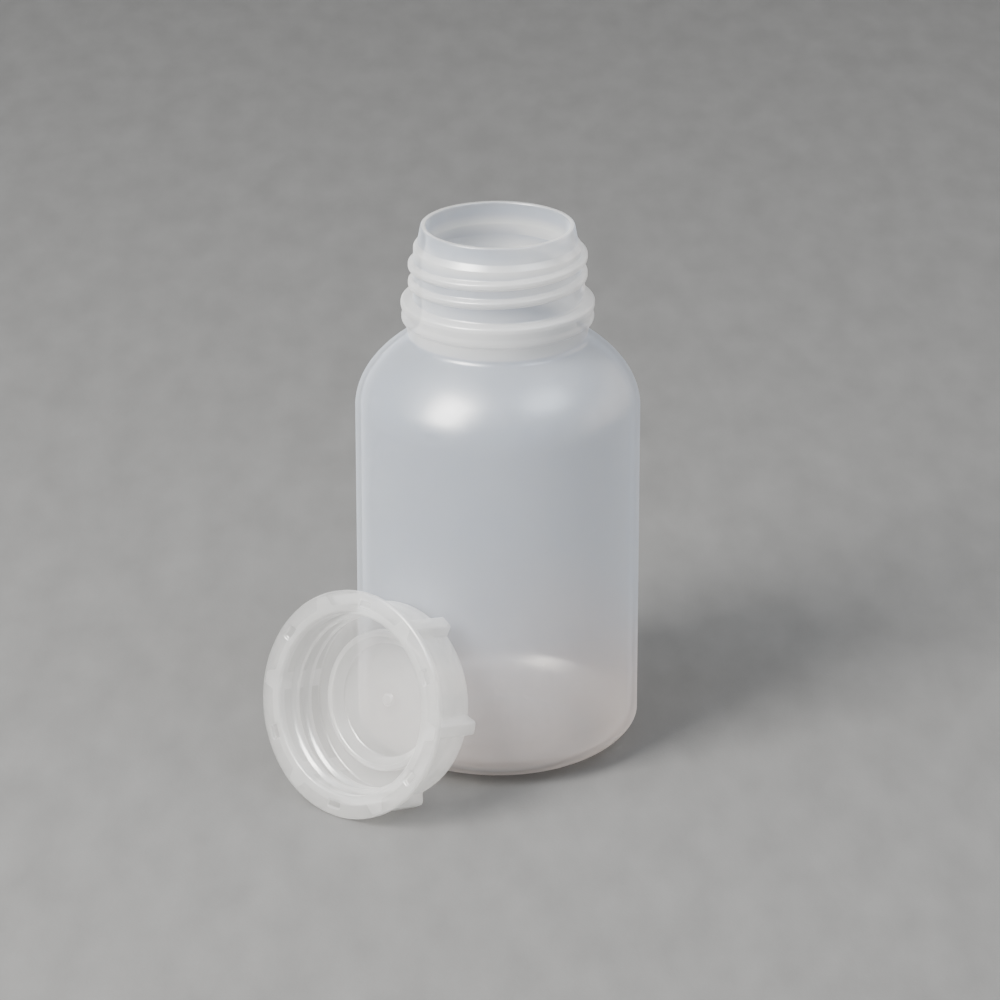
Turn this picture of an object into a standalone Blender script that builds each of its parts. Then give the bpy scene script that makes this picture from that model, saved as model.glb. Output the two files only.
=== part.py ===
"""Wide-neck reagent bottle in natural polyethylene, with its screw cap off and standing beside it.

The bottle stands upright on the origin, its axis along Z. The cap stands on its rim in front of the bottle
and to its left, with its mouth turned to the front: its flange and its closed end rest on the floor and its
upper edge nearly touches the bottle's wall. Both are single mouldings, so each is one object.

All sizes below are in millimetres, radii unless the name says otherwise, and are turned into metres where
they meet a mesh.
"""

import math

import bmesh
import bpy
from mathutils import Matrix

MM = 0.001
ROUND_STEPS = 48
MERGE = 0.00001

# Bottle body
BODY_R = 30.75
BODY_TOP_Z = 77.7
WALL = 1.2
CORNER_Z = 7.0
CORNER_POWER = 1.25
STAND_R = 20.7
STAND_INNER_R = 18.2
RECESS_R = 16.4
RECESS_Z = 0.6
FLOOR_Z = 1.9
INNER_CORNER_Z = 8.2
INNER_CORNER_FLOOR_Z = 1.3

# Bottle shoulder: an elliptical arc whose centre lies beyond the axis
SHOULDER_CENTRE_R = -20.0
SHOULDER_HALF_HEIGHT = 25.1
SHOULDER_INNER_HALF_HEIGHT = 24.1
SHOULDER_END_R = 19.4
SHOULDER_INNER_END_R = 16.6

# Bottle neck
HEIGHT = 118.5
NECK_FLARE_R = 19.15
NECK_FLARE_Z = 94.0
BEAD_R = 20.8
BEAD_FOOT_Z = 97.5
BEAD_TOP_Z = 102.1
BEAD_ROUND = 0.6
NECK_ROOT_R = 18.05
NECK_ROOT_TOP_Z = 113.7
NECK_BORE_R = 16.2
NECK_BORE_TOP_Z = 111.0
LIP_BORE_R = 15.35
LIP_BORE_FOOT_Z = 113.6
LIP_FOOT_R = 17.15
LIP_FOOT_Z = 115.0
LIP_R = 16.45
LIP_ROUND = 0.35

# Thread, shared by the bottle and the cap: right-handed, one start
THREAD_PITCH = 4.0
THREAD_FADE_TURN = 55.0
NECK_CREST_R = 19.2
NECK_THREAD_Z = 111.7
NECK_THREAD_FROM = -745.0
NECK_THREAD_TO = 95.0
CAP_CREST_R = 18.4
CAP_THREAD_Z = 3.9
CAP_THREAD_FROM = -75.0
CAP_THREAD_TO = 615.0
RIDGE_BASE_HALF = 1.15
RIDGE_CREST_HALF = 0.5
RIDGE_ROOTED = 0.6

# Cap, in its own frame: mouth at z = 0, closed end at z = CAP_HEIGHT
CAP_HEIGHT = 14.4
CAP_TOP_R = 21.3
CAP_TOP_ROUND = 0.9
CAP_TOP_THICK = 1.4
SKIRT_FOOT_R = 21.45
CAP_BORE_R = 19.5
CAP_MOUTH_CHAMFER = 0.4
FLANGE_R = 24.4
FLANGE_THICK = 1.5
FLANGE_ROUND = 0.4
PLUG_R = 15.15
PLUG_EDGE_Z = 10.6
PLUG_EDGE_INNER_R = 13.9
PLUG_ROOT_INNER_R = 12.2
GATE_R = 1.6
GATE_DEPTH = 0.3
GATE_NUB_R = 1.1
GATE_NUB_HEIGHT = 0.4
RIB_COUNT = 6
RIB_CREST_R = 23.7
RIB_ROOT_R = 20.4
RIB_BASE_WIDTH = 4.2
RIB_CREST_WIDTH = 3.0
RIB_END_Z = 14.15
RIB_ROUND = 0.7
POCKET_R = 21.95
POCKET_LENGTH = 3.2
POCKET_WIDTH = 1.7
POCKET_DEPTH = 0.5

# Where the cap stands
CAP_X = -31.58
CAP_Y = -38.73
CAP_TURN = 50.4


def clear_scene():
    """Remove every object that the file opened with."""
    for obj in list(bpy.data.objects):
        bpy.data.objects.remove(obj)


def new_collection(name):
    """Make a collection under the scene's own."""
    collection = bpy.data.collections.new(name)
    bpy.context.scene.collection.children.link(collection)
    return collection


def polyethylene(name, colour, roughness, transmission):
    """Milky translucent plastic."""
    material = bpy.data.materials.new(name)
    material.use_nodes = True
    shader = material.node_tree.nodes["Principled BSDF"]
    shader.inputs["Base Color"].default_value = (*colour, 1.0)
    shader.inputs["Roughness"].default_value = roughness
    shader.inputs["Metallic"].default_value = 0.0
    shader.inputs["IOR"].default_value = 1.51
    shader.inputs["Transmission Weight"].default_value = transmission
    return material


def arc(centre_r, centre_z, radius, start, end, steps):
    """Points along a circular arc of a profile, angles in degrees from +r towards +z."""
    points = []
    for step in range(steps + 1):
        angle = math.radians(start + (end - start) * step / steps)
        points.append((centre_r + radius * math.cos(angle), centre_z + radius * math.sin(angle)))
    return points


def base_corner(centre_r, centre_z, half_width, half_height, steps):
    """Points round the base's outer corner, from the wall down to the floor: a superellipse."""
    points = []
    for step in range(steps + 1):
        angle = math.pi / 2 * step / steps
        across = half_width * math.cos(angle) ** CORNER_POWER
        down = half_height * math.sin(angle) ** CORNER_POWER
        points.append((centre_r + across, centre_z - down))
    return points


def shoulder(wall_r, half_height, end_r, steps):
    """Points up the shoulder, from the top of the straight wall to where the neck starts."""
    half_width = wall_r - SHOULDER_CENTRE_R
    end_angle = math.acos((end_r - SHOULDER_CENTRE_R) / half_width)
    points = []
    for step in range(steps + 1):
        angle = end_angle * step / steps
        r = SHOULDER_CENTRE_R + half_width * math.cos(angle)
        points.append((r, BODY_TOP_Z + half_height * math.sin(angle)))
    return points


def bottle_inside():
    """Inner profile, from the middle of the floor up to the lip."""
    wall_r = BODY_R - WALL
    floor = [(0.0, FLOOR_Z), (RECESS_R, FLOOR_Z), (STAND_INNER_R, INNER_CORNER_FLOOR_Z)]
    corner_height = INNER_CORNER_Z - INNER_CORNER_FLOOR_Z
    corner = base_corner(STAND_R, INNER_CORNER_Z, wall_r - STAND_R, corner_height, 5)
    rise = shoulder(wall_r, SHOULDER_INNER_HALF_HEIGHT, SHOULDER_INNER_END_R, 6)
    neck = [
        (NECK_BORE_R, BEAD_FOOT_Z),
        (NECK_BORE_R, NECK_BORE_TOP_Z),
        (LIP_BORE_R, LIP_BORE_FOOT_Z),
        (LIP_BORE_R, HEIGHT - LIP_ROUND),
    ]
    return floor + corner[::-1] + rise + neck


def bottle_outside():
    """Outer profile, from the lip down to the middle of the base."""
    lip = [(LIP_BORE_R + LIP_ROUND, HEIGHT)]
    lip += arc(LIP_R - LIP_ROUND, HEIGHT - LIP_ROUND, LIP_ROUND, 90, 0, 3)
    lip += [(LIP_FOOT_R, LIP_FOOT_Z), (NECK_ROOT_R, NECK_ROOT_TOP_Z)]
    bead_edge_r = BEAD_R - BEAD_ROUND
    bead = [(NECK_ROOT_R, BEAD_TOP_Z + BEAD_ROUND), (NECK_ROOT_R + BEAD_ROUND, BEAD_TOP_Z)]
    bead += arc(bead_edge_r, BEAD_TOP_Z - BEAD_ROUND, BEAD_ROUND, 90, 0, 3)
    bead += arc(bead_edge_r, BEAD_FOOT_Z + BEAD_ROUND, BEAD_ROUND, 0, -75, 3)
    flare = [(NECK_FLARE_R, NECK_FLARE_Z)]
    fall = shoulder(BODY_R, SHOULDER_HALF_HEIGHT, SHOULDER_END_R, 8)[::-1]
    corner = base_corner(STAND_R, CORNER_Z, BODY_R - STAND_R, CORNER_Z, 7)
    base = [(STAND_INNER_R, 0.0), (RECESS_R, RECESS_Z), (0.0, RECESS_Z)]
    return lip + bead + flare + fall + corner + base


def cap_profile():
    """Closed profile of the cap, down its outside and back up its inside."""
    dimple_z = CAP_HEIGHT - GATE_DEPTH
    top = [(0.0, dimple_z), (GATE_R, dimple_z), (GATE_R + GATE_DEPTH, CAP_HEIGHT)]
    top += arc(CAP_TOP_R - CAP_TOP_ROUND, CAP_HEIGHT - CAP_TOP_ROUND, CAP_TOP_ROUND, 90, 0, 3)
    skirt = [(SKIRT_FOOT_R, FLANGE_THICK + FLANGE_ROUND), (SKIRT_FOOT_R + FLANGE_ROUND, FLANGE_THICK)]
    edge_r = FLANGE_R - FLANGE_ROUND
    flange = arc(edge_r, FLANGE_THICK - FLANGE_ROUND, FLANGE_ROUND, 90, 0, 2)
    flange += arc(edge_r, FLANGE_ROUND, FLANGE_ROUND, 0, -90, 2)
    inner_z = CAP_HEIGHT - CAP_TOP_THICK
    bore = [
        (CAP_BORE_R + CAP_MOUTH_CHAMFER, 0.0),
        (CAP_BORE_R, CAP_MOUTH_CHAMFER),
        (CAP_BORE_R, inner_z - FLANGE_ROUND),
        (CAP_BORE_R - FLANGE_ROUND, inner_z),
    ]
    plug = [
        (PLUG_R + FLANGE_ROUND, inner_z),
        (PLUG_R, inner_z - FLANGE_ROUND),
        (PLUG_R, PLUG_EDGE_Z + FLANGE_ROUND),
        (PLUG_R - FLANGE_ROUND, PLUG_EDGE_Z),
        (PLUG_EDGE_INNER_R, PLUG_EDGE_Z),
        (PLUG_EDGE_INNER_R - FLANGE_ROUND, PLUG_EDGE_Z + FLANGE_ROUND),
        (PLUG_ROOT_INNER_R, inner_z),
    ]
    nub_z = inner_z - GATE_NUB_HEIGHT
    gate = [(GATE_NUB_R + GATE_NUB_HEIGHT, inner_z), (GATE_NUB_R, nub_z), (0.0, nub_z)]
    return top + skirt + flange + bore + plug + gate


def new_object(name, mesh, collection, parent=None):
    """Put a mesh into the scene under its parent."""
    obj = bpy.data.objects.new(name, mesh)
    collection.objects.link(obj)
    obj.parent = parent
    return obj


def turned(name, profile, collection, parent=None):
    """Turn a profile, given as (r, z) points in millimetres, round the object's Z axis."""
    mesh = bpy.data.meshes.new(name)
    vertices = [(r * MM, 0.0, z * MM) for r, z in profile]
    edges = [(index, index + 1) for index in range(len(profile) - 1)]
    mesh.from_pydata(vertices, edges, [])
    obj = new_object(name, mesh, collection, parent)
    screw = obj.modifiers.new("turn", "SCREW")
    screw.axis = "Z"
    screw.angle = 2 * math.pi
    screw.steps = ROUND_STEPS
    screw.render_steps = ROUND_STEPS
    screw.use_merge_vertices = True
    screw.merge_threshold = MERGE
    return obj


def ridge_section(root_r, crest_r, fullness):
    """Section of a thread ridge as (r, z) points; fullness runs from 0, sunk in the wall, to 1."""
    outward = math.copysign(1.0, crest_r - root_r)
    rooted_r = root_r - outward * RIDGE_ROOTED
    sunk_r = root_r - outward * RIDGE_ROOTED / 2
    top_r = sunk_r + (crest_r - sunk_r) * fullness
    base = RIDGE_BASE_HALF * (0.4 + 0.6 * fullness)
    crest = RIDGE_CREST_HALF * (0.4 + 0.6 * fullness)
    flank_r = top_r - outward * 0.15 * abs(crest_r - root_r)
    half = [(rooted_r, base), (sunk_r, base), (flank_r, crest * 1.3), (top_r, crest * 0.7)]
    return [(r, -z) for r, z in half] + [(r, z) for r, z in reversed(half)]


def thread_ridge(name, root_r, crest_r, zero_z, start, end, collection, parent=None):
    """Helical ridge between two angles in degrees, fading into the wall at both ends."""
    form = bmesh.new()
    step = 360.0 / ROUND_STEPS
    count = round((end - start) / step)
    rings = []
    for index in range(count + 1):
        degrees = start + step * index
        ends = min(degrees - start, end - degrees) / THREAD_FADE_TURN
        fullness = math.sin(math.pi / 2 * max(0.0, min(1.0, ends)))
        angle = math.radians(degrees)
        rise = zero_z + THREAD_PITCH * degrees / 360.0
        ring = []
        for r, z in ridge_section(root_r, crest_r, fullness):
            place = (r * math.cos(angle) * MM, r * math.sin(angle) * MM, (rise + z) * MM)
            ring.append(form.verts.new(place))
        rings.append(ring)
    for one, two in zip(rings, rings[1:]):
        for index in range(len(one)):
            after = (index + 1) % len(one)
            form.faces.new((one[index], one[after], two[after], two[index]))
    form.faces.new(rings[0])
    form.faces.new(rings[-1])
    bmesh.ops.recalc_face_normals(form, faces=form.faces)
    mesh = bpy.data.meshes.new(name)
    form.to_mesh(mesh)
    form.free()
    return new_object(name, mesh, collection, parent)


def box_form(form, low, high):
    """Add a box between two corners, in millimetres, to a bmesh and return its vertices."""
    made = bmesh.ops.create_cube(form, size=1.0)["verts"]
    for vertex in made:
        for axis in range(3):
            middle = (low[axis] + high[axis]) / 2
            vertex.co[axis] = (middle + vertex.co[axis] * (high[axis] - low[axis])) * MM
    return made


def spin_copies(form, count, first_angle):
    """Turn what a bmesh holds to its first angle and repeat it round Z."""
    source = list(form.verts) + list(form.edges) + list(form.faces)
    for index in range(1, count):
        copy = bmesh.ops.duplicate(form, geom=source)["geom"]
        vertices = [item for item in copy if isinstance(item, bmesh.types.BMVert)]
        turn = Matrix.Rotation(2 * math.pi * index / count, 3, "Z")
        bmesh.ops.rotate(form, verts=vertices, cent=(0.0, 0.0, 0.0), matrix=turn)
    turn = Matrix.Rotation(math.radians(first_angle), 3, "Z")
    bmesh.ops.rotate(form, verts=form.verts, cent=(0.0, 0.0, 0.0), matrix=turn)


def grip_ribs(name, collection, parent):
    """Six ribs that run from the flange to the closed end, narrower at their crest."""
    form = bmesh.new()
    half = RIB_BASE_WIDTH / 2
    box_form(form, (RIB_ROOT_R, -half, FLANGE_THICK / 2), (RIB_CREST_R, half, RIB_END_Z))
    middle_r = (RIB_ROOT_R + RIB_CREST_R) / 2 * MM
    end_z = RIB_END_Z * MM / 2
    crest = [vertex for vertex in form.verts if vertex.co.x > middle_r]
    for vertex in crest:
        vertex.co.y *= RIB_CREST_WIDTH / RIB_BASE_WIDTH
    rounded = []
    for edge in form.edges:
        ends = edge.verts
        on_crest = all(vertex.co.x > middle_r for vertex in ends)
        at_flange = all(vertex.co.z < end_z for vertex in ends)
        if on_crest and not at_flange:
            rounded.append(edge)
    bmesh.ops.bevel(form, geom=rounded, offset=RIB_ROUND * MM, segments=3, profile=0.5, affect="EDGES")
    spin_copies(form, RIB_COUNT, 180.0 / RIB_COUNT)
    mesh = bpy.data.meshes.new(name)
    form.to_mesh(mesh)
    form.free()
    return new_object(name, mesh, collection, parent)


def flange_pockets(name, collection, parent):
    """Shallow pockets in the flange's face, one midway between each two ribs."""
    form = bmesh.new()
    half_width = POCKET_WIDTH / 2
    half_length = POCKET_LENGTH / 2
    low = (POCKET_R - half_width, -half_length, -POCKET_DEPTH)
    high = (POCKET_R + half_width, half_length, POCKET_DEPTH)
    box_form(form, low, high)
    upright = []
    for edge in form.edges:
        one, two = edge.verts
        if abs(one.co.z - two.co.z) > POCKET_DEPTH * MM:
            upright.append(edge)
    corner = half_width * 0.6 * MM
    bmesh.ops.bevel(form, geom=upright, offset=corner, segments=2, profile=0.5, affect="EDGES")
    spin_copies(form, RIB_COUNT, 0.0)
    mesh = bpy.data.meshes.new(name)
    form.to_mesh(mesh)
    form.free()
    return new_object(name, mesh, collection, parent)


def combine(target, other, operation):
    """Join another object to the target, or cut it out, with an exact Boolean."""
    other.hide_render = True
    other.display_type = "WIRE"
    boolean = target.modifiers.new(other.name, "BOOLEAN")
    boolean.operation = operation
    boolean.object = other
    boolean.solver = "EXACT"


def finish(obj, material):
    """Give a piece its material, and normals that keep its flat faces looking flat."""
    obj.data.materials.append(material)
    obj.modifiers.new("normals", "WEIGHTED_NORMAL")


def make_bottle(parts, cutters):
    """The bottle: one moulding with its external thread."""
    bottle = turned("bottle", bottle_inside() + bottle_outside(), parts)
    ridge = thread_ridge(
        "neck_thread", NECK_ROOT_R, NECK_CREST_R, NECK_THREAD_Z, NECK_THREAD_FROM, NECK_THREAD_TO, cutters
    )
    combine(bottle, ridge, "UNION")
    return bottle


def cap_lean():
    """Angle, in radians, that the cap's closed end sinks below its mouth as it stands on the floor.

    Two rounded edges touch the floor: the back of the flange and the rim of the closed end.
    """
    across = (FLANGE_R - FLANGE_ROUND) - (CAP_TOP_R - CAP_TOP_ROUND)
    along = (CAP_HEIGHT - CAP_TOP_ROUND) - (FLANGE_THICK - FLANGE_ROUND)
    rise = CAP_TOP_ROUND - FLANGE_ROUND
    return math.acos(rise / math.hypot(across, along)) - math.atan2(along, across)


def cap_stand(parts):
    """Empty at the middle of the cap's mouth, turned the way the cap stands."""
    lean = cap_lean()
    edge_r = FLANGE_R - FLANGE_ROUND
    edge_z = FLANGE_THICK - FLANGE_ROUND
    height = edge_r * math.cos(lean) + edge_z * math.sin(lean) + FLANGE_ROUND
    stand = bpy.data.objects.new("cap_stand", None)
    stand.location = (CAP_X * MM, CAP_Y * MM, height * MM)
    stand.rotation_euler = (0.0, math.pi / 2 + lean, math.radians(CAP_TURN))
    parts.objects.link(stand)
    return stand


def make_cap(parts, cutters):
    """The screw cap: one moulding with its ribs and its internal thread."""
    stand = cap_stand(parts)
    cap = turned("screw_cap", cap_profile(), parts, stand)
    ridge = thread_ridge(
        "cap_thread", CAP_BORE_R, CAP_CREST_R, CAP_THREAD_Z, CAP_THREAD_FROM, CAP_THREAD_TO, cutters, stand
    )
    combine(cap, ridge, "UNION")
    combine(cap, flange_pockets("flange_pockets", cutters, stand), "DIFFERENCE")
    combine(cap, grip_ribs("grip_ribs", cutters, stand), "UNION")
    return cap


def main():
    """Build the bottle and its cap."""
    clear_scene()
    parts = new_collection("reagent_bottle")
    cutters = new_collection("reagent_bottle_cutters")
    bottle = make_bottle(parts, cutters)
    finish(bottle, polyethylene("bottle_polyethylene", (0.78, 0.80, 0.82), 0.42, 0.45))
    cap = make_cap(parts, cutters)
    finish(cap, polyethylene("cap_polyethylene", (0.84, 0.83, 0.80), 0.38, 0.35))


main()
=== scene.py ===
"""Looks of a wide-neck reagent bottle in natural polyethylene, with its screw cap off and standing beside it.

Each of the two mouldings is one fine closed skin, turned from its outline, in place of its plain CAD solid.
The thread, the grip ribs and the flange's pockets are raised from or sunk into the skin, with soft edges.
Outlines are in millimetres, in each piece's own frame, and are turned into metres where they meet a mesh.
"""

import math

import bpy
from mathutils import Matrix, Vector
from mathutils.bvhtree import BVHTree


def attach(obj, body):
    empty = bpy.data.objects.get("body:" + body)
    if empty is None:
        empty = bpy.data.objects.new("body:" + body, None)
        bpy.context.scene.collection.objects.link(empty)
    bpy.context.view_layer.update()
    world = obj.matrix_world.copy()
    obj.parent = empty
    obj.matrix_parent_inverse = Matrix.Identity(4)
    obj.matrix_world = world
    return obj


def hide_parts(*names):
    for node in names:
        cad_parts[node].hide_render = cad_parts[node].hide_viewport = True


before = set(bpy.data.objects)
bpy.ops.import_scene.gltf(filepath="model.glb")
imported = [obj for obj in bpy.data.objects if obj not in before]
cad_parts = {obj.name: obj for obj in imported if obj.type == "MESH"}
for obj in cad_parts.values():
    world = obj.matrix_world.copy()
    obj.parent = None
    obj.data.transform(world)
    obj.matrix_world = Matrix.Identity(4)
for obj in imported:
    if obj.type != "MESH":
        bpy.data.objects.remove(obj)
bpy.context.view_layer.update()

MM = 0.001

# Bottle body
BODY_R = 30.75
BODY_TOP_Z = 77.7
WALL = 1.2
CORNER_Z = 7.0
CORNER_POWER = 1.25
STAND_R = 20.7
STAND_INNER_R = 18.2
RECESS_R = 16.4
RECESS_Z = 0.6
FLOOR_Z = 1.9
INNER_CORNER_Z = 8.2
INNER_CORNER_FLOOR_Z = 1.3

# Bottle shoulder: an elliptical arc whose centre lies beyond the axis
SHOULDER_CENTRE_R = -20.0
SHOULDER_HALF_HEIGHT = 25.1
SHOULDER_INNER_HALF_HEIGHT = 24.1
SHOULDER_END_R = 19.4
SHOULDER_INNER_END_R = 16.6

# Bottle neck
HEIGHT = 118.5
NECK_FLARE_R = 19.2
NECK_FLARE_Z = 93.7
BEAD_R = 20.8
BEAD_FOOT_Z = 97.5
BEAD_TOP_Z = 102.1
BEAD_ROUND = 0.6
BEAD_RIM = 1.2
BEAD_GROOVE_R = 20.4
BEAD_GROOVE_Z = 99.4
BEAD_FOOT_R = 20.65
BEAD_FOOT_RIM = 1.0
BEAD_FOOT_STEP = 0.75
BEAD_FOOT_SLOPE = 0.3
NECK_ROOT_R = 18.05
NECK_ROOT_TOP_Z = 113.7
NECK_BORE_R = 16.2
NECK_BORE_TOP_Z = 111.0
NECK_THREAD_TOP_Z = 113.4
NECK_THREAD_FOOT_Z = 102.9
BORE_FLARE_R = 17.2
BORE_FLARE_Z = 94.6
BORE_FOOT_Z = 98.3
LIP_BORE_R = 15.35
LIP_BORE_FOOT_Z = 113.6
LIP_FOOT_R = 17.15
LIP_FOOT_Z = 115.0
LIP_R = 16.45
LIP_ROUND = 0.35

# Thread, shared by the bottle and the cap: right-handed, one start
THREAD_PITCH = 4.0
THREAD_FADE_TURN = 55.0
RIDGE_SUNK = 0.6
RIDGE_FOOT_HALF = 1.4
RIDGE_TOP_HALF = 0.6
RIDGE_SOFT = 0.3
RIDGE_FILLET = 0.2
NECK_CREST_R = 19.2
NECK_THREAD_Z = 111.7
NECK_THREAD_FROM = -745.0
NECK_THREAD_TO = 95.0
CAP_CREST_R = 18.4
CAP_THREAD_Z = 3.9
CAP_THREAD_FROM = -75.0
CAP_THREAD_TO = 615.0

# Cap, in its own frame: mouth at z = 0, closed end at z = CAP_HEIGHT
CAP_HEIGHT = 14.4
CAP_TOP_R = 21.3
CAP_TOP_ROUND = 0.9
CAP_TOP_THICK = 1.4
SKIRT_FOOT_R = 21.45
CAP_BORE_R = 19.5
CAP_MOUTH_CHAMFER = 0.4
CAP_THREAD_FOOT_Z = 0.7
CAP_THREAD_TOP_Z = 12.2
FLANGE_R = 24.4
FLANGE_THICK = 1.5
FLANGE_ROUND = 0.4
PLUG_R = 15.15
PLUG_EDGE_Z = 10.6
PLUG_EDGE_INNER_R = 13.9
PLUG_ROOT_INNER_R = 12.2
GATE_R = 1.6
GATE_DEPTH = 0.3
GATE_NUB_R = 1.1
GATE_NUB_HEIGHT = 0.4
RIB_COUNT = 6
RIB_CREST_R = 23.7
RIB_BASE_HALF = 2.1
RIB_CREST_HALF = 1.5
RIB_END_Z = 14.15
RIB_ROUND = 0.7
POCKET_R = 21.95
POCKET_LENGTH = 3.2
POCKET_WIDTH = 1.7
POCKET_DEPTH = 0.5
POCKET_MARGIN = 0.4

# Where the cap stands
CAP_X = -31.58
CAP_Y = -38.73
CAP_TURN = 50.4

# How fine the skins are, and how their thickness is measured
BOTTLE_COLUMNS = 288
ARC_TURN = math.radians(11.0)
RAY_START = 0.03
BOTTLE_MOST_THICK = 2.6
CAP_MOST_THICK = 2.3

# Stage: the backdrop in millimetres, the two places in metres, the camera looking down in degrees
BACKDROP_R = 2600.0
BACKDROP_HEIGHT = 2400.0
BACKDROP_CURVE = 900.0
BACKDROP_COLUMNS = 96
LIGHTS_AIM = Vector((0.0, 0.0, 0.06))
CAMERA_PLACE = (0.000483, -0.9692, 0.4361)
CAMERA_PITCH = 21.44


# ---------------------------------------------------------------- outlines


def smooth_max(one, two, soft):
    """Larger of two numbers, with the corner between them rounded over about `soft`."""
    overlap = max(soft - abs(one - two), 0.0)
    return max(one, two) + overlap * overlap / (4 * soft)


def smooth_min(one, two, soft):
    """Smaller of two numbers, with the corner between them rounded over about `soft`."""
    return -smooth_max(-one, -two, soft)


def divide(start, end, step):
    """Points from start up to but not including end, at most `step` apart."""
    count = max(1, math.ceil((end - start).length / step))
    return [start.lerp(end, index / count) for index in range(count)]


def outline(corners, step):
    """Fine (r, z) points through (r, z, round) corners, each turned into an arc of that radius."""
    places = [Vector(corner[:2]) for corner in corners]
    points = []
    last = places[0]
    for index in range(1, len(corners) - 1):
        here = places[index]
        back = places[index - 1] - here
        ahead = places[index + 1] - here
        radius = corners[index][2]
        turn = math.pi - back.angle(ahead)
        reach = radius * math.tan(turn / 2)
        if radius == 0.0 or reach < 0.001:
            points += divide(last, here, step)
            last = here
            continue
        begin = here + back.normalized() * reach
        finish = here + ahead.normalized() * reach
        inward = (back.normalized() + ahead.normalized()).normalized()
        centre = here + inward * (radius / math.cos(turn / 2))
        points += divide(last, begin, step)
        steps = max(3, round(turn / ARC_TURN))
        swing = (finish - centre).angle_signed(begin - centre)
        for part in range(steps):
            points.append(centre + Matrix.Rotation(swing * part / steps, 2) @ (begin - centre))
        last = finish
    points += divide(last, places[-1], step)
    points.append(places[-1])
    return points


def base_corner(centre_z, half_width, half_height, steps):
    """Corner points round the base, from the wall down to the floor: a superellipse."""
    corners = []
    for step in range(steps + 1):
        angle = math.pi / 2 * step / steps
        across = half_width * math.cos(angle) ** CORNER_POWER
        down = half_height * math.sin(angle) ** CORNER_POWER
        corners.append((STAND_R + across, centre_z - down, 0.0))
    return corners


def shoulder(wall_r, half_height, end_r, steps):
    """Corner points up the shoulder, from the top of the straight wall to where the neck starts."""
    half_width = wall_r - SHOULDER_CENTRE_R
    end_angle = math.acos((end_r - SHOULDER_CENTRE_R) / half_width)
    corners = []
    for step in range(steps + 1):
        angle = end_angle * step / steps
        r = SHOULDER_CENTRE_R + half_width * math.cos(angle)
        corners.append((r, BODY_TOP_Z + half_height * math.sin(angle), 0.0))
    return corners


def ridge_height(angle, z, zero_z, start, end):
    """Share of its full height that a thread ridge has at an angle and a height up its cylinder."""
    best = 0.0
    turn = math.degrees(angle) % 360.0 + 360.0 * math.floor(start / 360.0)
    while turn <= end:
        if turn >= start:
            ends = min(turn - start, end - turn) / THREAD_FADE_TURN
            fullness = math.sin(math.pi / 2 * min(1.0, ends))
            off = abs(z - zero_z - THREAD_PITCH * turn / 360.0)
            flank = (RIDGE_FOOT_HALF - off) / (RIDGE_FOOT_HALF - RIDGE_TOP_HALF)
            share = smooth_max(smooth_min(flank, 1.0, RIDGE_SOFT), 0.0, RIDGE_SOFT)
            best = max(best, share * fullness)
        turn += 360.0
    return best


# ---------------------------------------------------------------- bottle skin


def bottle_inside():
    """Inner outline, from the middle of the floor up to the lip's bore."""
    wall_r = BODY_R - WALL
    corner_height = INNER_CORNER_Z - INNER_CORNER_FLOOR_Z
    corners = [
        (0.0, FLOOR_Z, 0.0),
        (RECESS_R, FLOOR_Z, 0.8),
        (STAND_INNER_R, INNER_CORNER_FLOOR_Z, 0.8),
    ]
    corners += base_corner(INNER_CORNER_Z, wall_r - STAND_R, corner_height, 14)[::-1]
    # The shoulder's last two points are left out, so that the flare starts softly
    corners += shoulder(wall_r, SHOULDER_INNER_HALF_HEIGHT, SHOULDER_INNER_END_R, 22)[:-2]
    corners += [
        (BORE_FLARE_R, BORE_FLARE_Z, 2.0),
        (NECK_BORE_R, BORE_FOOT_Z, 2.0),
        (NECK_BORE_R, NECK_BORE_TOP_Z, 1.2),
        (LIP_BORE_R, LIP_BORE_FOOT_Z, 1.2),
        (LIP_BORE_R, HEIGHT - 2 * LIP_ROUND, 0.0),
    ]
    return corners


def bottle_lip():
    """Outline over the lip, from its bore to the foot of its outside."""
    return [
        (LIP_BORE_R, HEIGHT - 2 * LIP_ROUND, 0.0),
        (LIP_BORE_R, HEIGHT, LIP_ROUND),
        (LIP_R, HEIGHT, LIP_ROUND),
        (LIP_FOOT_R, LIP_FOOT_Z, 0.5),
        (NECK_ROOT_R, NECK_ROOT_TOP_Z, 0.3),
        (NECK_ROOT_R, NECK_THREAD_TOP_Z, 0.0),
    ]


def bottle_neck():
    """Outline down the threaded neck."""
    return [(NECK_ROOT_R, NECK_THREAD_TOP_Z, 0.0), (NECK_ROOT_R, NECK_THREAD_FOOT_Z, 0.0)]


def bottle_outside():
    """Outline from the bead down to the middle of the base."""
    corners = [
        (NECK_ROOT_R, NECK_THREAD_FOOT_Z, 0.0),
        (NECK_ROOT_R, BEAD_TOP_Z, 0.6),
        (BEAD_R, BEAD_TOP_Z, BEAD_ROUND),
        (BEAD_R, BEAD_TOP_Z - BEAD_RIM, 0.8),
        (BEAD_GROOVE_R, BEAD_GROOVE_Z, 1.2),
        (BEAD_FOOT_R, BEAD_FOOT_Z + BEAD_FOOT_RIM, 0.8),
        (BEAD_FOOT_R, BEAD_FOOT_Z + BEAD_FOOT_SLOPE, 0.4),
        (BEAD_FOOT_R - BEAD_FOOT_STEP, BEAD_FOOT_Z - BEAD_FOOT_SLOPE, 0.4),
        (NECK_FLARE_R, NECK_FLARE_Z, 1.4),
    ]
    corners += shoulder(BODY_R, SHOULDER_HALF_HEIGHT, SHOULDER_END_R, 26)[-3::-1]
    corners += base_corner(CORNER_Z, BODY_R - STAND_R, CORNER_Z, 18)
    corners += [(STAND_INNER_R, 0.0, 0.8), (RECESS_R, RECESS_Z, 0.8), (0.0, RECESS_Z, 0.0)]
    return corners


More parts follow.
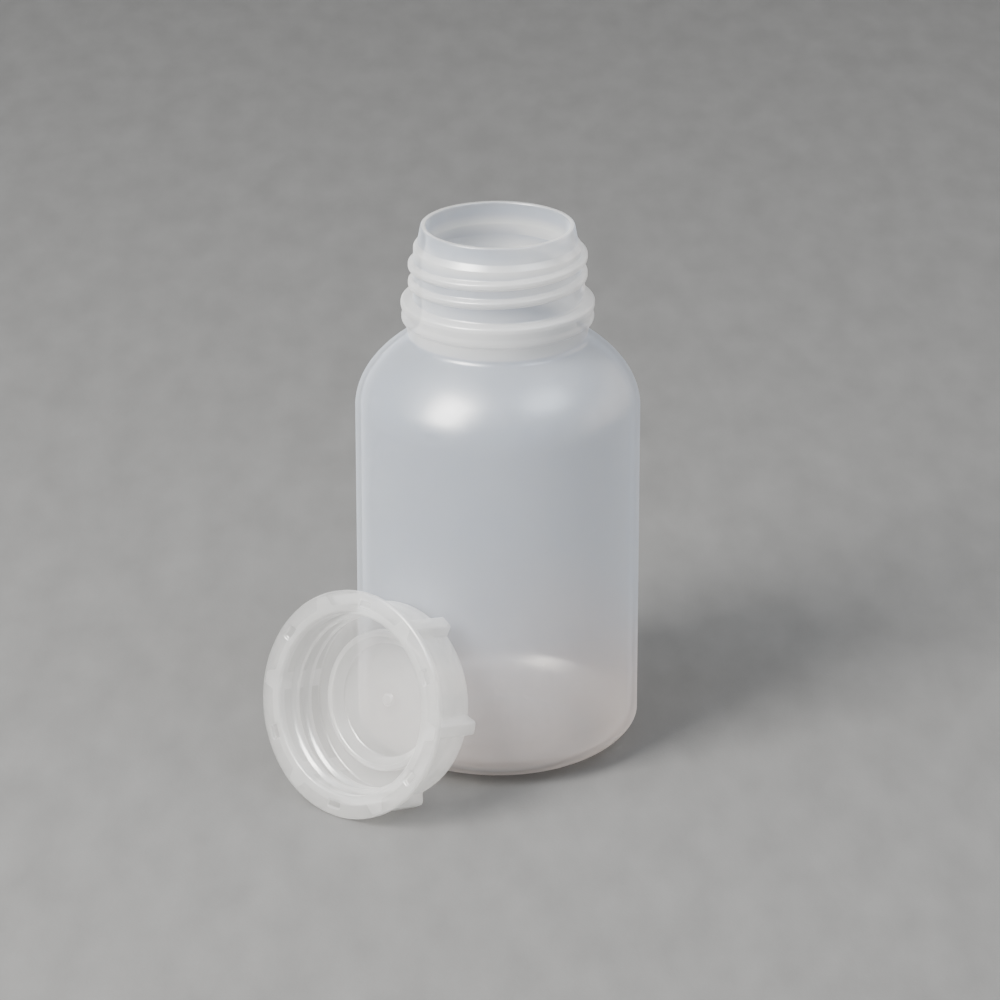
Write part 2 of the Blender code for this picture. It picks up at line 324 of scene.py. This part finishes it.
def plain(angle, r, z):
    """Relief of a stretch that is simply turned: none."""
    return r, z


def neck_relief(angle, r, z):
    """Thread ridge round the outside of the neck."""
    share = ridge_height(angle, z, NECK_THREAD_Z, NECK_THREAD_FROM, NECK_THREAD_TO)
    if share == 0.0:
        return r, z
    sunk_r = NECK_ROOT_R - RIDGE_SUNK
    return smooth_max(r, sunk_r + (NECK_CREST_R - sunk_r) * share, RIDGE_FILLET), z


def skin(name, stretches, angles, most_thick):
    """Closed mesh round Z from stretches of an outline that starts and ends on the axis.

    A stretch is its fine (r, z) points and its relief, which moves a point to where the surface really is.
    The plastic lies on the right of the outline's run, seen with r to the right and z up.
    """
    rows = []
    for points, relief in stretches:
        for point in points:
            if not rows or (point - rows[-1][0]).length > 0.01:
                rows.append((point, relief))
    first, last = rows[0][0], rows[-1][0]
    places = [(0.0, 0.0, first.y * MM)]
    for point, relief in rows[1:-1]:
        for angle in angles:
            r, z = relief(angle, point.x, point.y)
            places.append((r * math.cos(angle) * MM, r * math.sin(angle) * MM, z * MM))
    places.append((0.0, 0.0, last.y * MM))
    count = len(angles)
    end = len(places) - 1
    faces = []
    for column in range(count):
        after = (column + 1) % count
        faces.append((0, 1 + column, 1 + after))
        for row in range(len(rows) - 3):
            here = 1 + row * count
            faces.append((here + column, here + count + column, here + count + after, here + after))
        faces.append((end - count + column, end, end - count + after))
    mesh = bpy.data.meshes.new(name)
    mesh.from_pydata(places, [], faces)
    mesh.shade_smooth()
    note_thickness(mesh, places, faces, most_thick)
    obj = bpy.data.objects.new(name, mesh)
    bpy.context.scene.collection.objects.link(obj)
    return obj


def note_thickness(mesh, places, faces, most_thick):
    """Store, at each vertex, how thick the plastic is straight behind it, in millimetres, up to a limit."""
    tree = BVHTree.FromPolygons(places, faces)
    depths = []
    for vertex in mesh.vertices:
        inward = -vertex.normal
        struck = tree.ray_cast(vertex.co + inward * RAY_START * MM, inward, most_thick * MM)
        depths.append(most_thick if struck[3] is None else struck[3] / MM)
    mesh.attributes.new("thickness", "FLOAT", "POINT").data.foreach_set("value", depths)


def make_bottle():
    """The bottle's skin."""
    turns = [2 * math.pi * index / BOTTLE_COLUMNS for index in range(BOTTLE_COLUMNS)]
    stretches = [
        (outline(bottle_inside(), 4.0), plain),
        (outline(bottle_lip(), 0.25), neck_relief),
        (outline(bottle_neck(), 0.16), neck_relief),
        (outline(bottle_outside(), 4.0), plain),
    ]
    return skin("bottle_moulding", stretches, turns, BOTTLE_MOST_THICK)


# ---------------------------------------------------------------- cap skin


def sector_angles():
    """Angles in degrees from the middle of one rib to midway to the next, close together where edges run."""
    spans = [(0.0, 2.6, 3), (2.6, 6.6, 13), (6.6, 24.2, 8), (24.2, 27.4, 8), (27.4, 30.0, 2)]
    angles = []
    for start, end, count in spans:
        angles += [start + (end - start) * index / count for index in range(count)]
    return angles


def cap_columns():
    """Angles in radians of the cap's columns, all the way round."""
    half = sector_angles()
    sector = 360.0 / RIB_COUNT
    offsets = half + [sector / 2] + [sector - offset for offset in half[:0:-1]]
    turns = []
    for rib in range(RIB_COUNT):
        turns += [math.radians(sector * (rib + 0.5) + offset) for offset in offsets]
    return turns


def off_centre(angle, first):
    """Angle in radians from the nearest of as many evenly spaced places as ribs, the first at `first`."""
    sector = 2 * math.pi / RIB_COUNT
    return abs((angle - first + sector / 2) % sector - sector / 2)


def rib_share(angle):
    """Share of its full height that the nearest grip rib has at an angle."""
    across = off_centre(angle, math.pi / RIB_COUNT) * (SKIRT_FOOT_R + RIB_CREST_R) / 2
    flank = (RIB_BASE_HALF - across) / (RIB_BASE_HALF - RIB_CREST_HALF)
    return smooth_max(smooth_min(flank, 1.0, 0.8), 0.0, 0.6)


def cap_end():
    """Outline over the closed end, from its middle to where the rim's arc starts."""
    dimple_z = CAP_HEIGHT - GATE_DEPTH
    edge_r = CAP_TOP_R - CAP_TOP_ROUND
    return [
        (0.0, dimple_z, 0.0),
        (GATE_R, dimple_z, 0.25),
        (GATE_R + GATE_DEPTH, CAP_HEIGHT, 0.25),
        (edge_r, CAP_HEIGHT, 0.0),
    ]


def cap_rim_and_skirt():
    """Outline of the closed end's rim and the skirt down to the flange, as matching pairs of points.

    The first of each pair lies between the ribs and the second on the middle of a rib.
    """
    centre_r = CAP_TOP_R - CAP_TOP_ROUND
    centre_z = CAP_HEIGHT - CAP_TOP_ROUND
    leave = math.asin((RIB_END_Z - centre_z) / CAP_TOP_ROUND)
    pairs = []
    for step in range(6):
        angle = math.pi / 2 + (leave - math.pi / 2) * step / 5
        r = centre_r + CAP_TOP_ROUND * math.cos(angle)
        place = Vector((r, centre_z + CAP_TOP_ROUND * math.sin(angle)))
        pairs.append((place, place))
    leave_r = pairs[-1][0].x
    on_rib = []
    for step in range(1, 4):
        on_rib.append(Vector((leave_r + (RIB_CREST_R - RIB_ROUND - leave_r) * step / 4, RIB_END_Z)))
    for step in range(7):
        angle = math.pi / 2 * (1 - step / 6)
        r = RIB_CREST_R - RIB_ROUND + RIB_ROUND * math.cos(angle)
        on_rib.append(Vector((r, RIB_END_Z - RIB_ROUND + RIB_ROUND * math.sin(angle))))
    for step, place in enumerate(on_rib):
        angle = leave * (1 - (step + 1) / len(on_rib))
        r = centre_r + CAP_TOP_ROUND * math.cos(angle)
        pairs.append((Vector((r, centre_z + CAP_TOP_ROUND * math.sin(angle))), place))
    foot_z = FLANGE_THICK + FLANGE_ROUND
    for step in range(1, 9):
        z = centre_z + (foot_z - centre_z) * step / 8
        r = CAP_TOP_R + (SKIRT_FOOT_R - CAP_TOP_R) * step / 8
        pairs.append((Vector((r, z)), Vector((RIB_CREST_R, z))))
    return pairs


def flange_back_pairs():
    """Matching pairs of points down the fillet onto the flange's back and out to its edge."""
    pairs = []
    edge_r = FLANGE_R - FLANGE_ROUND
    for step in range(1, 6):
        angle = math.pi + math.pi / 2 * step / 5
        between = Vector((
            SKIRT_FOOT_R + FLANGE_ROUND + FLANGE_ROUND * math.cos(angle),
            FLANGE_THICK + FLANGE_ROUND + FLANGE_ROUND * math.sin(angle),
        ))
        small = edge_r - RIB_CREST_R
        on_rib = Vector((
            RIB_CREST_R + small + small * math.cos(angle),
            FLANGE_THICK + FLANGE_ROUND + FLANGE_ROUND * math.sin(angle),
        ))
        pairs.append((between, on_rib))
    last = pairs[-1][0].x
    for step in range(1, 5):
        r = last + (edge_r - last) * step / 5
        pairs.append((Vector((r, FLANGE_THICK)), Vector((edge_r, FLANGE_THICK))))
    return pairs


def cap_flange():
    """Outline round the flange's edge and over the band of its face that has no pockets."""
    edge_r = FLANGE_R - FLANGE_ROUND
    return [
        (edge_r, FLANGE_THICK, 0.0),
        (FLANGE_R, FLANGE_THICK, FLANGE_ROUND),
        (FLANGE_R, 0.0, FLANGE_ROUND),
        (POCKET_R + POCKET_WIDTH / 2 + POCKET_MARGIN, 0.0, 0.0),
    ]


def cap_face():
    """Outline over the band of the flange's face that has the pockets."""
    return [
        (POCKET_R + POCKET_WIDTH / 2 + POCKET_MARGIN, 0.0, 0.0),
        (POCKET_R - POCKET_WIDTH / 2 - POCKET_MARGIN, 0.0, 0.0),
    ]


def cap_mouth():
    """Outline from the flange's face into the bore."""
    return [
        (POCKET_R - POCKET_WIDTH / 2 - POCKET_MARGIN, 0.0, 0.0),
        (CAP_BORE_R + CAP_MOUTH_CHAMFER, 0.0, 0.3),
        (CAP_BORE_R, CAP_MOUTH_CHAMFER, 0.3),
        (CAP_BORE_R, CAP_THREAD_FOOT_Z, 0.0),
    ]


def cap_bore():
    """Outline up the threaded bore."""
    return [(CAP_BORE_R, CAP_THREAD_FOOT_Z, 0.0), (CAP_BORE_R, CAP_THREAD_TOP_Z, 0.0)]


def cap_inner_end():
    """Outline from the top of the bore over the plug ring to the middle of the inner face."""
    inner_z = CAP_HEIGHT - CAP_TOP_THICK
    nub_z = inner_z - GATE_NUB_HEIGHT
    return [
        (CAP_BORE_R, CAP_THREAD_TOP_Z, 0.0),
        (CAP_BORE_R, inner_z, 0.5),
        (PLUG_R, inner_z, 0.4),
        (PLUG_R, PLUG_EDGE_Z, 0.45),
        (PLUG_EDGE_INNER_R, PLUG_EDGE_Z, 0.45),
        (PLUG_ROOT_INNER_R, inner_z, 0.6),
        (GATE_NUB_R + GATE_NUB_HEIGHT, inner_z, 0.25),
        (GATE_NUB_R, nub_z, 0.25),
        (0.0, nub_z, 0.0),
    ]


def rib_relief(pairs):
    """Relief that raises the ribs from a skirt given as matching pairs of points."""
    raised = {between.to_tuple(5): on_rib for between, on_rib in pairs}

    def relief(angle, r, z):
        on_rib = raised[Vector((r, z)).to_tuple(5)]
        share = rib_share(angle)
        return r + (on_rib.x - r) * share, z + (on_rib.y - z) * share

    return relief


def pocket_relief(angle, r, z):
    """Sinks the pockets into the flange's face."""
    along = off_centre(angle, 0.0) * r - POCKET_LENGTH / 2
    across = abs(r - POCKET_R) - POCKET_WIDTH / 2
    outside = smooth_max(along, across, 0.5)
    depth = smooth_min(max(0.0, 0.5 - outside / 0.25), 1.0, 0.4)
    return r, z + POCKET_DEPTH * max(0.0, min(1.0, depth))


def bore_relief(angle, r, z):
    """Thread ridge round the inside of the cap."""
    share = ridge_height(angle, z, CAP_THREAD_Z, CAP_THREAD_FROM, CAP_THREAD_TO)
    sunk_r = CAP_BORE_R + RIDGE_SUNK
    return smooth_min(r, sunk_r + (CAP_CREST_R - sunk_r) * share, RIDGE_FILLET), z


def cap_lean():
    """Angle, in radians, that the cap's closed end sinks below its mouth as it stands on the floor.

    Two rounded edges touch the floor: the back of the flange and the rim of the closed end.
    """
    across = (FLANGE_R - FLANGE_ROUND) - (CAP_TOP_R - CAP_TOP_ROUND)
    along = (CAP_HEIGHT - CAP_TOP_ROUND) - (FLANGE_THICK - FLANGE_ROUND)
    rise = CAP_TOP_ROUND - FLANGE_ROUND
    return math.acos(rise / math.hypot(across, along)) - math.atan2(along, across)


def cap_place():
    """Matrix of the cap's own frame as it stands."""
    lean = cap_lean()
    edge_r = FLANGE_R - FLANGE_ROUND
    edge_z = FLANGE_THICK - FLANGE_ROUND
    height = edge_r * math.cos(lean) + edge_z * math.sin(lean) + FLANGE_ROUND
    turn = Matrix.Rotation(math.radians(CAP_TURN), 4, "Z")
    tilt = Matrix.Rotation(math.pi / 2 + lean, 4, "Y")
    return Matrix.Translation(Vector((CAP_X, CAP_Y, height)) * MM) @ turn @ tilt


def make_cap():
    """The cap's skin, standing on its rim."""
    skirt = cap_rim_and_skirt() + flange_back_pairs()
    stretches = [
        (outline(cap_end(), 5.0), plain),
        ([between for between, on_rib in skirt], rib_relief(skirt)),
        (outline(cap_flange(), 0.5), plain),
        (outline(cap_face(), 0.13), pocket_relief),
        (outline(cap_mouth(), 0.5), plain),
        (outline(cap_bore(), 0.17), bore_relief),
        (outline(cap_inner_end(), 3.0), plain),
    ]
    cap = skin("cap_moulding", stretches, cap_columns(), CAP_MOST_THICK)
    cap.data.transform(cap_place())
    return cap


# ---------------------------------------------------------------- materials


class Nodes:
    """Short way to build a material's nodes."""

    def __init__(self, name):
        self.material = bpy.data.materials.new(name)
        self.material.use_nodes = True
        self.tree = self.material.node_tree
        self.shader = self.tree.nodes["Principled BSDF"]

    def add(self, kind, **values):
        """Make a node and set its properties."""
        node = self.tree.nodes.new("ShaderNode" + kind)
        for key, value in values.items():
            setattr(node, key, value)
        return node

    def join(self, source, target):
        """Link an output socket to an input socket."""
        self.tree.links.new(source, target)

    def height(self):
        """Height in the piece's own space, in metres."""
        place = self.add("TexCoord")
        split = self.add("SeparateXYZ")
        self.join(place.outputs["Object"], split.inputs["Vector"])
        return split.outputs["Z"]

    def noise(self, scale, detail, stretch=(1.0, 1.0, 1.0)):
        """Noise in the piece's own space, its scale counted per metre."""
        place = self.add("TexCoord")
        mapping = self.add("Mapping")
        mapping.inputs["Scale"].default_value = stretch
        self.join(place.outputs["Object"], mapping.inputs["Vector"])
        noise = self.add("TexNoise")
        noise.inputs["Scale"].default_value = scale
        noise.inputs["Detail"].default_value = detail
        self.join(mapping.outputs["Vector"], noise.inputs["Vector"])
        return noise.outputs["Fac"]

    def spread(self, value, low, high, start=0.3, end=0.7):
        """Value mapped from start..end to low..high, and held at both ends."""
        node = self.add("MapRange")
        node.inputs["From Min"].default_value = start
        node.inputs["From Max"].default_value = end
        node.inputs["To Min"].default_value = low
        node.inputs["To Max"].default_value = high
        self.join(value, node.inputs["Value"])
        return node.outputs["Result"]

    def blend(self, value, low, high, start=0.3, end=0.7):
        """Colour that goes from low to high as a value goes from start to end."""
        node = self.add("ValToRGB")
        node.color_ramp.elements[0].position = start
        node.color_ramp.elements[0].color = (*low, 1.0)
        node.color_ramp.elements[1].position = end
        node.color_ramp.elements[1].color = (*high, 1.0)
        self.join(value, node.inputs["Fac"])
        return node.outputs["Color"]

    def tint(self, share, base, colour):
        """Colour socket turned by a share towards a plain colour."""
        node = self.add("MixRGB")
        self.join(share, node.inputs["Fac"])
        self.join(base, node.inputs["Color1"])
        node.inputs["Color2"].default_value = (*colour, 1.0)
        return node.outputs["Color"]

    def calculate(self, operation, one, two):
        """Result of a calculation on two numbers, each a value or an output socket."""
        node = self.add("Math", operation=operation)
        for value, target in zip((one, two), node.inputs):
            if isinstance(value, float):
                target.default_value = value
            else:
                self.join(value, target)
        return node.outputs["Value"]

    def bumps(self, layers):
        """Chain of bumps from (height, strength, distance) layers."""
        normal = None
        for height, strength, distance in layers:
            bump = self.add("Bump")
            bump.inputs["Strength"].default_value = strength
            bump.inputs["Distance"].default_value = distance
            self.join(height, bump.inputs["Height"])
            if normal is not None:
                self.join(normal, bump.inputs["Normal"])
            normal = bump.outputs["Normal"]
        return normal


def polyethylene(name, clear, cloudy, thick, low, passing, haze, roughness, scatter):
    """Milky translucent plastic, whiter and less see-through where it is thicker.

    It scatters a colour from `clear` to `cloudy` where it is thin and `thick` where it is thick. Near the
    floor the colour is turned towards `low`, a painted glow that stands in for light coming through the
    plastic and up off the floor.
    `passing` tints what is seen through it. `haze` is the thickness in millimetres at which one
    surface hides about two thirds of what is behind it. `roughness` is a range, and `scatter` is in metres.
    """
    nodes = Nodes(name)
    shader = nodes.shader
    shader.inputs["IOR"].default_value = 1.51
    shader.inputs["Specular IOR Level"].default_value = 0.0
    shader.inputs["Subsurface Weight"].default_value = 1.0
    shader.inputs["Subsurface Radius"].default_value = scatter
    shader.inputs["Subsurface Scale"].default_value = 1.0
    depth = nodes.add("Attribute", attribute_name="thickness").outputs["Fac"]
    thin_colour = nodes.blend(nodes.noise(60.0, 3.0), clear, cloudy)
    # Painted light: near the floor the colour is turned towards `low`, a painted glow in place of light that
    # passes through the plastic and bounces off the floor
    painted_glow_share = nodes.spread(nodes.height(), 0.75, 0.0, 0.004, 0.034)
    thickened = nodes.spread(depth, 0.0, 1.0, 1.5, 3.0)
    wall_and_painted_glow_colour = nodes.tint(painted_glow_share, thin_colour, low)
    nodes.join(nodes.tint(thickened, wall_and_painted_glow_colour, thick), shader.inputs["Base Color"])
    grain = nodes.noise(900.0, 4.0)
    smoothest, roughest = roughness
    roughness_value = nodes.spread(grain, smoothest, roughest)
    nodes.join(roughness_value, shader.inputs["Roughness"])
    flow = nodes.noise(45.0, 2.0, (1.0, 1.0, 0.35))
    normal = nodes.bumps([(flow, 0.2, 0.0003)])
    nodes.join(normal, shader.inputs["Normal"])
    through = nodes.add("BsdfTransparent")
    through.inputs["Color"].default_value = (*passing, 1.0)
    clearness = nodes.calculate("POWER", math.exp(-1.0 / haze), depth)
    facing = nodes.add("LayerWeight")
    facing.inputs["Blend"].default_value = 0.5
    glancing = nodes.spread(facing.outputs["Facing"], 1.0, 0.35, 0.65, 1.0)
    open_share = nodes.calculate("MULTIPLY", clearness, glancing)
    mix = nodes.add("MixShader")
    nodes.join(open_share, mix.inputs["Fac"])
    nodes.join(shader.outputs["BSDF"], mix.inputs[1])
    nodes.join(through.outputs["BSDF"], mix.inputs[2])
    gloss = nodes.add("BsdfGlossy")
    nodes.join(roughness_value, gloss.inputs["Roughness"])
    nodes.join(normal, gloss.inputs["Normal"])
    edge_on = nodes.calculate("POWER", facing.outputs["Facing"], 5.0)
    mirrored = nodes.spread(edge_on, 0.12, 0.4, 0.0, 1.0)
    outside = nodes.calculate("SUBTRACT", 1.0, nodes.add("NewGeometry").outputs["Backfacing"])
    surface = nodes.add("MixShader")
    nodes.join(nodes.calculate("MULTIPLY", mirrored, outside), surface.inputs["Fac"])
    nodes.join(mix.outputs["Shader"], surface.inputs[1])
    nodes.join(gloss.outputs["BSDF"], surface.inputs[2])
    output = nodes.tree.nodes["Material Output"]
    nodes.join(surface.outputs["Shader"], output.inputs["Surface"])
    return nodes.material


def grey_paper():
    """Seamless paper: mottled warm grey with a soft tooth."""
    nodes = Nodes("grey_paper")
    mottle = nodes.noise(110.0, 6.0, (1.0, 0.4, 1.0))
    greys = nodes.blend(mottle, (0.136, 0.135, 0.134), (0.159, 0.158, 0.157))
    nodes.join(greys, nodes.shader.inputs["Base Color"])
    nodes.shader.inputs["Roughness"].default_value = 0.9
    tooth = nodes.noise(1400.0, 3.0)
    nodes.join(nodes.bumps([(tooth, 0.3, 0.0002)]), nodes.shader.inputs["Normal"])
    return nodes.material


# ---------------------------------------------------------------- stage, lights and camera


def make_backdrop():
    """Floor that curves up far away into a low round wall, so that every view ends in paper."""
    corners = [(0.0, 0.0, 0.0), (BACKDROP_R, 0.0, BACKDROP_CURVE), (BACKDROP_R, BACKDROP_HEIGHT, 0.0)]
    points = outline(corners, 300.0)
    places = [(0.0, 0.0, 0.0)]
    count = BACKDROP_COLUMNS
    for point in points[1:]:
        for index in range(count):
            angle = 2 * math.pi * index / count
            places.append((point.x * math.cos(angle) * MM, point.x * math.sin(angle) * MM, point.y * MM))
    faces = []
    for column in range(count):
        after = (column + 1) % count
        faces.append((0, 1 + column, 1 + after))
        for row in range(len(points) - 2):
            here = 1 + row * count
            faces.append((here + column, here + count + column, here + count + after, here + after))
    mesh = bpy.data.meshes.new("paper_backdrop")
    mesh.from_pydata(places, [], faces)
    mesh.shade_smooth()
    backdrop = bpy.data.objects.new("paper_backdrop", mesh)
    backdrop.data.materials.append(grey_paper())
    bpy.context.scene.collection.objects.link(backdrop)


def softbox(name, azimuth, elevation, distance, size, power, colour):
    """Area light, of a width and a height, that faces the object.

    Its azimuth is counted from the front towards the right, in degrees, like its elevation.
    """
    across = math.radians(azimuth)
    up = math.radians(elevation)
    away = Vector((math.sin(across) * math.cos(up), -math.cos(across) * math.cos(up), math.sin(up)))
    light = bpy.data.lights.new(name, "AREA")
    light.shape = "RECTANGLE"
    light.size, light.size_y = size
    light.energy = power
    light.color = colour
    obj = bpy.data.objects.new(name, light)
    obj.location = LIGHTS_AIM + away * distance
    obj.rotation_euler = away.to_track_quat("Z", "Y").to_euler()
    bpy.context.scene.collection.objects.link(obj)


def make_lights():
    """Key light and a larger cool one from the front left, two weak lights from the right, and a room."""
    softbox("key_softbox", -49.0, 41.0, 1.1, (0.44, 0.68), 36.5, (1.0, 0.965, 0.905))
    softbox("window_light", -58.0, 46.0, 1.5, (1.5, 1.5), 17.0, (0.84, 0.93, 1.0))
    softbox("side_softbox", 58.0, 53.0, 1.4, (0.75, 0.5), 9.0, (0.82, 0.91, 1.0))
    softbox("low_bounce", 108.0, 8.0, 1.4, (1.9, 0.9), 10.0, (1.0, 0.89, 0.79))
    world = bpy.data.worlds.new("studio_room")
    world.use_nodes = True
    background = world.node_tree.nodes["Background"]
    background.inputs["Color"].default_value = (0.95, 0.97, 1.0, 1.0)
    background.inputs["Strength"].default_value = 0.49
    bpy.context.scene.world = world


def make_camera():
    """Camera a little above the object, looking down at it through a long lens."""
    camera = bpy.data.cameras.new("camera")
    camera.lens = 172.3
    camera.sensor_width = 36.0
    camera.clip_start = 0.01
    camera.clip_end = 20.0
    obj = bpy.data.objects.new("camera", camera)
    obj.location = CAMERA_PLACE
    obj.rotation_euler = (math.radians(90.0 - CAMERA_PITCH), 0.0, 0.0)
    bpy.context.scene.collection.objects.link(obj)
    bpy.context.scene.camera = obj


def dress(piece, body, node, material):
    """Put a piece in place of its CAD node, on that node's body and finish."""
    piece.data.materials.append(material)
    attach(piece, body)
    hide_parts(node)


make_backdrop()
make_lights()
make_camera()
bottle_plastic = polyethylene(
    "bottle_polyethylene_fine",
    clear=(0.50, 0.57, 0.715),
    cloudy=(0.53, 0.60, 0.735),
    thick=(0.86, 0.85, 0.825),
    # painted warm glow near the floor, in place of warm light passing through the base
    low=(0.90, 0.74, 0.66),
    passing=(1.0, 0.99, 0.975),
    haze=4.2,
    roughness=(0.28, 0.34),
    scatter=(0.006, 0.006, 0.006),
)
dress(make_bottle(), "bottle", "bottle", bottle_plastic)
cap_plastic = polyethylene(
    "cap_polyethylene_fine",
    clear=(0.86, 0.87, 0.88),
    cloudy=(0.90, 0.91, 0.92),
    thick=(0.99, 0.985, 0.97),
    # painted light near the floor: a lighter white on the cap's lower side
    low=(0.93, 0.92, 0.91),
    passing=(1.0, 0.997, 0.99),
    haze=5.6,
    roughness=(0.18, 0.24),
    scatter=(0.008, 0.008, 0.008),
)
dress(make_cap(), "cap", "screw_cap", cap_plastic)
